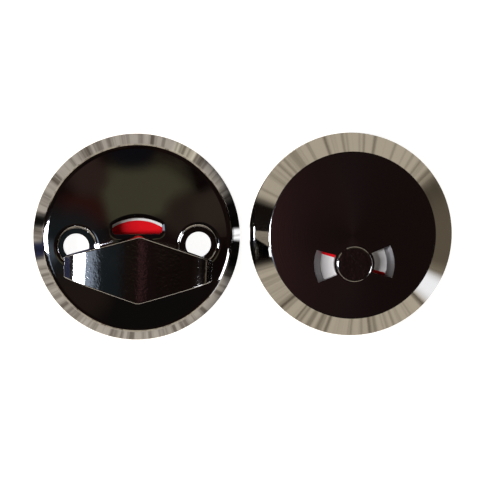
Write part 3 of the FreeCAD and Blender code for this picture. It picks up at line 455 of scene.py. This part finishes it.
# %% The dark upper room
# Each row is a compass angle, a height angle, the degrees of full colour and of none, and the colour.
UPPER_DARK = "#100A09"
UPPER_LIGHT = "#231814"
UPPER_CLOUDS = 4.0
UPPER_CLOUD_START = 0.35
UPPER_CLOUD_FULL = 0.7
clouds = add(tree, "ShaderNodeTexNoise", {"Vector": way}, {"Scale": UPPER_CLOUDS, "Detail": 3.0})
cloud_tone = add(tree, "ShaderNodeMapRange", {"Value": clouds.outputs["Fac"]},
                 {"From Min": UPPER_CLOUD_START, "From Max": UPPER_CLOUD_FULL})
upper = add(tree, "ShaderNodeMix", {0: cloud_tone.outputs["Result"]},
            {6: linear(UPPER_DARK), 7: linear(UPPER_LIGHT)}, data_type="RGBA").outputs[2]
UPPER_PATCHES = [
    (-86, 60, 12, 28, "#151211"),
    (233, 67, 3, 10, "#281F1A"),
    (98, 82, 5, 11.5, "#4B4737"),
    (47, 80, 5, 12, "#4B4737"),
    (-32, 82.6, 4.5, 8, "#1D1312"),
    (-57, 85, 0.8, 2.8, "#472C2D"),
    (166, 76, 3, 8, "#331A16"),
    (133, 72, 2, 7, "#372924"),
    (10, 75, 3, 8, "#312721"),
    (8, 67, 2, 8, "#382E27"),
    (90, 68, 3, 9, "#131216"),
    (196, 72, 3, 12, "#1D2224"),
    (194, 56, 0.5, 12, "#A9B8CC"),
]
for azimuth, elevation, full, gone, tone in UPPER_PATCHES:
    share = within(tree, way, towards(azimuth, elevation), full, gone)
    upper = add(tree, "ShaderNodeMix", {0: share, 6: upper}, {7: linear(tone)},
                data_type="RGBA").outputs[2]
print(len(UPPER_PATCHES), "patches in the upper room")

# %% Where the walls end
# Tops are heights as a direction's upward share, 0 at the level of the table and 1 overhead.
WALL_TOP = 0.27
LOW_WALL_TOP = 0.05
WALL_FADE = 0.09
LOW_WALL_AZIMUTH = -5
LOW_WALL_FULL = 28
LOW_WALL_GONE = 45
up = add(tree, "ShaderNodeSeparateXYZ", {0: way}).outputs["Z"]
to_the_right = within(tree, compass, towards(LOW_WALL_AZIMUTH, 0), LOW_WALL_FULL, LOW_WALL_GONE)
above_wall = add(tree, "ShaderNodeMath", {0: to_the_right, 2: up}, {1: WALL_TOP - LOW_WALL_TOP},
                 operation="MULTIPLY_ADD")
step = add(tree, "ShaderNodeMapRange", {"Value": above_wall.outputs[0]},
           {"From Min": WALL_TOP, "From Max": WALL_TOP + WALL_FADE}, interpolation_type="SMOOTHSTEP")
colour = add(tree, "ShaderNodeMix", {0: step.outputs["Result"], 6: walls, 7: upper}, data_type="RGBA")
light = add(tree, "ShaderNodeBackground", {"Color": colour.outputs[2]}, {"Strength": 1.0})
add(tree, "ShaderNodeOutputWorld", {"Surface": light.outputs[0]})
print("walls up to", WALL_TOP, "and to the right up to", LOW_WALL_TOP)

# %% [markdown]
# ## Lamps
#
# Two soft lamps stand like windows: a tall cool one to the left, which lights the indicators and draws
# the white crescent on the left shoulder and the white end of the turn, and a weaker one to the right
# for the right crescent. Each is a direction and a size, and faces the pieces.

# %% Lamps
LAMP_DISTANCE = 1.0


def window_lamp(name, azimuth, elevation, width, height, power, colour):
    bpy.ops.object.select_all(action="DESELECT")
    bpy.ops.object.light_add(type="AREA")
    lamp = bpy.context.object
    lamp.name = name
    lamp.data.shape = "RECTANGLE"
    lamp.data.size = width
    lamp.data.size_y = height
    lamp.data.energy = power
    lamp.data.color = linear(colour)[:3]
    way_out = towards(azimuth, elevation)
    lamp.location = way_out * LAMP_DISTANCE
    lamp.rotation_euler = (-way_out).to_track_quat("-Z", "Y").to_euler()
    print(name, "at", azimuth, "and", elevation, "degrees,", power, "W")


window_lamp("left window", azimuth=184, elevation=37, width=0.22, height=0.66, power=14.0,
            colour="#F4F7FF")
window_lamp("right window", azimuth=-23, elevation=23, width=0.30, height=0.48, power=2.6,
            colour="#FFFFFF")

# %% [markdown]
# ## Camera
#
# The picture was taken from almost straight above with a long lens, leaning a few degrees to the upper
# left. One pixel covers a known length on the table, and that sets the lens for any distance.

# %% Camera
PIXEL = 0.2485 * MM
FRAME_SIDE = 480
SENSOR_MM = 36.0
FAR_END = 10.0
CAMERA_DISTANCE = 0.6
LEAN_LEFT = 3.6
LEAN_UP = 4.1
ROLL = -0.6
AIM = Vector((-0.76, -1.16, 0.0)) * MM
bpy.ops.object.select_all(action="DESELECT")
bpy.ops.object.camera_add()
camera = bpy.context.object
bpy.context.scene.camera = camera
camera.data.sensor_width = SENSOR_MM
camera.data.lens = SENSOR_MM * CAMERA_DISTANCE / (FRAME_SIDE * PIXEL)
camera.data.clip_end = FAR_END
lean = Vector((-math.tan(math.radians(LEAN_LEFT)), math.tan(math.radians(LEAN_UP)), 1.0)).normalized()
spot = AIM + lean * CAMERA_DISTANCE
right = Vector((0, 1, 0)).cross(lean).normalized()
gaze = Matrix((right, lean.cross(right), lean)).transposed().to_4x4()
camera.matrix_world = Matrix.Translation(spot) @ gaze @ Matrix.Rotation(math.radians(ROLL), 4, "Z")
bpy.context.scene.view_settings.view_transform = "Standard"
print("lens", round(camera.data.lens, 1), "mm")
